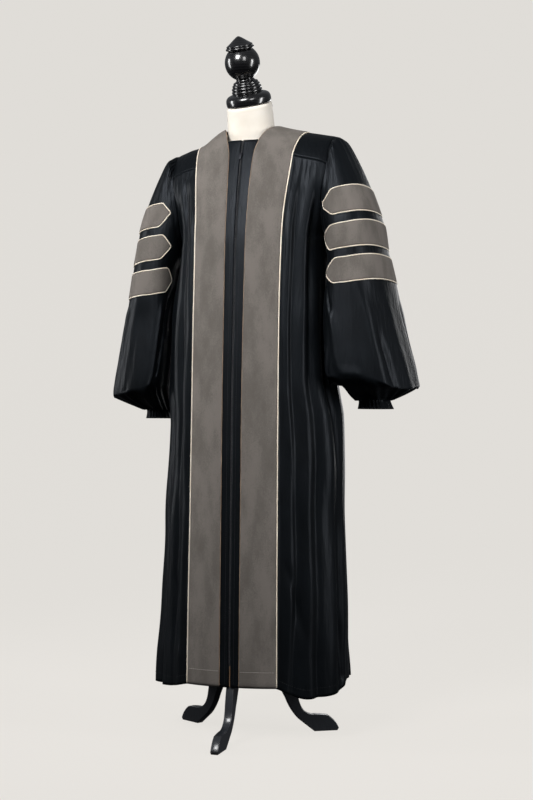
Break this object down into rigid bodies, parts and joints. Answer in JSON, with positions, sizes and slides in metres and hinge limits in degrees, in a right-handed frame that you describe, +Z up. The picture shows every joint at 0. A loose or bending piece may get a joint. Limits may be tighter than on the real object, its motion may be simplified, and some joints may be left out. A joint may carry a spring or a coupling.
{
  "type": "doctoral graduation gown on a limbless dress form with a tripod stand",
  "caption": "Black doctoral graduation gown with grey velvet front panels and sleeve bars in cream piping, worn by a limbless dress form that stands on three sawn wooden legs.",
  "frame": {"origin": "on the floor, on the axis of the form's pole", "axes": "+Z up, -Y to the wearer's front, +X to the wearer's left"},
  "size_m": [0.7788, 0.4788, 1.694],
  "materials": {
    "gown_cloth": "soft satin-faced cloth, black with a slight blue cast",
    "velvet": "short-pile velvet, warm grey",
    "piping": "satin-covered cord, cream",
    "zip_steel": "bright plated metal",
    "form_cloth": "tight jersey cover, off-white",
    "gloss_wood": "turned wood, high-gloss black lacquer",
    "black_wood": "sawn wood, satin black paint"
  },
  "bodies": {
    "gown": {"front_left": "gown_cloth", "yoke_left": "gown_cloth", "sleeve_left": "gown_cloth", "cuff_left": "gown_cloth", "velvet_panel_left": "velvet", "panel_piping_left": "piping", "bar_top_left": "velvet", "bar_piping_top_left": "piping", "bar_middle_left": "velvet", "bar_piping_middle_left": "piping", "bar_low_left": "velvet", "bar_piping_low_left": "piping", "front_right": "gown_cloth", "yoke_right": "gown_cloth", "sleeve_right": "gown_cloth", "cuff_right": "gown_cloth", "velvet_panel_right": "velvet", "panel_piping_right": "piping", "bar_top_right": "velvet", "bar_piping_top_right": "piping", "bar_middle_right": "velvet", "bar_piping_middle_right": "piping", "bar_low_right": "velvet", "bar_piping_low_right": "piping", "back": "gown_cloth", "yoke_back": "gown_cloth", "velvet_neck_band": "velvet", "neck_band_piping": "piping", "zip_slider": "zip_steel", "zip_chain": "zip_steel", "dress_form": "form_cloth", "finial": "gloss_wood", "pole": "black_wood", "stand_hub": "black_wood", "leg_front": "black_wood", "leg_left": "black_wood", "leg_right": "black_wood"},
    "pull": {"zip_pull": "zip_steel"}
  },
  "joints": [
    {"name": "zip_pull", "type": "hinge", "parent": "gown", "child": "pull", "pos_m": [0, -0.03788, 1.40803], "axis": [-1, 0, 0], "range_deg": [0, 150]}
  ]
}
